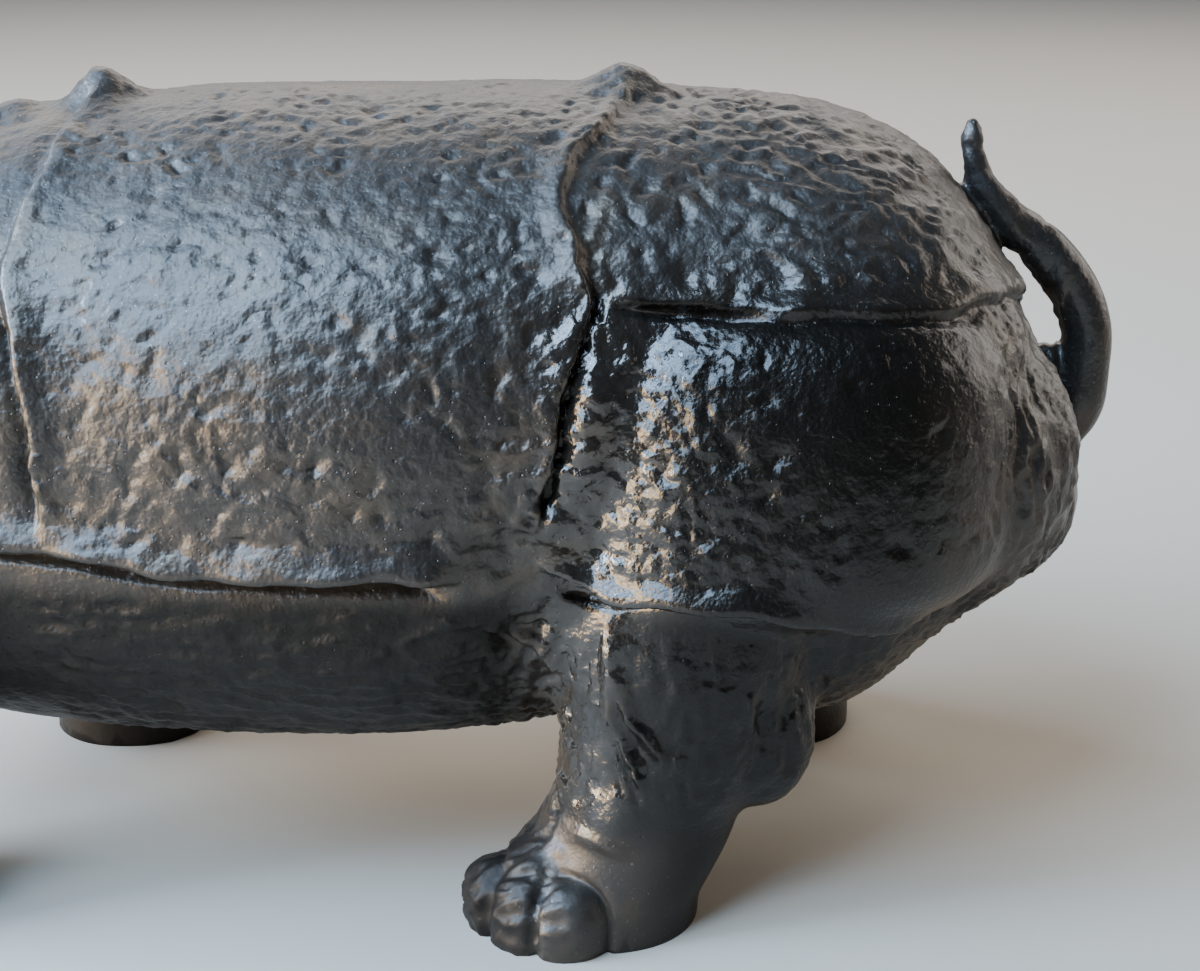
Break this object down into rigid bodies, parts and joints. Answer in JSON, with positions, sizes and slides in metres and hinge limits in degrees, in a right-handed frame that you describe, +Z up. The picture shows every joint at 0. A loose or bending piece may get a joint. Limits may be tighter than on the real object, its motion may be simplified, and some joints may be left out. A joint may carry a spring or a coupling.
{
  "type": "rhinoceros figurine",
  "caption": "Glazed ceramic figurine of a walking one-horned rhinoceros with armour-like skin folds, dark satin glaze, standing on flat soles.",
  "frame": {"origin": "on the ground under the middle of the figure's bounding box", "axes": "+Z up, head towards -X, tail towards +X, the figure's left flank towards -Y"},
  "size_m": [0.7356, 0.2954, 0.339],
  "materials": {
    "glaze": "near-black satin glaze over a hand-worked ceramic skin"
  },
  "bodies": {
    "root": {"rhinoceros": "glaze"}
  },
  "joints": []
}
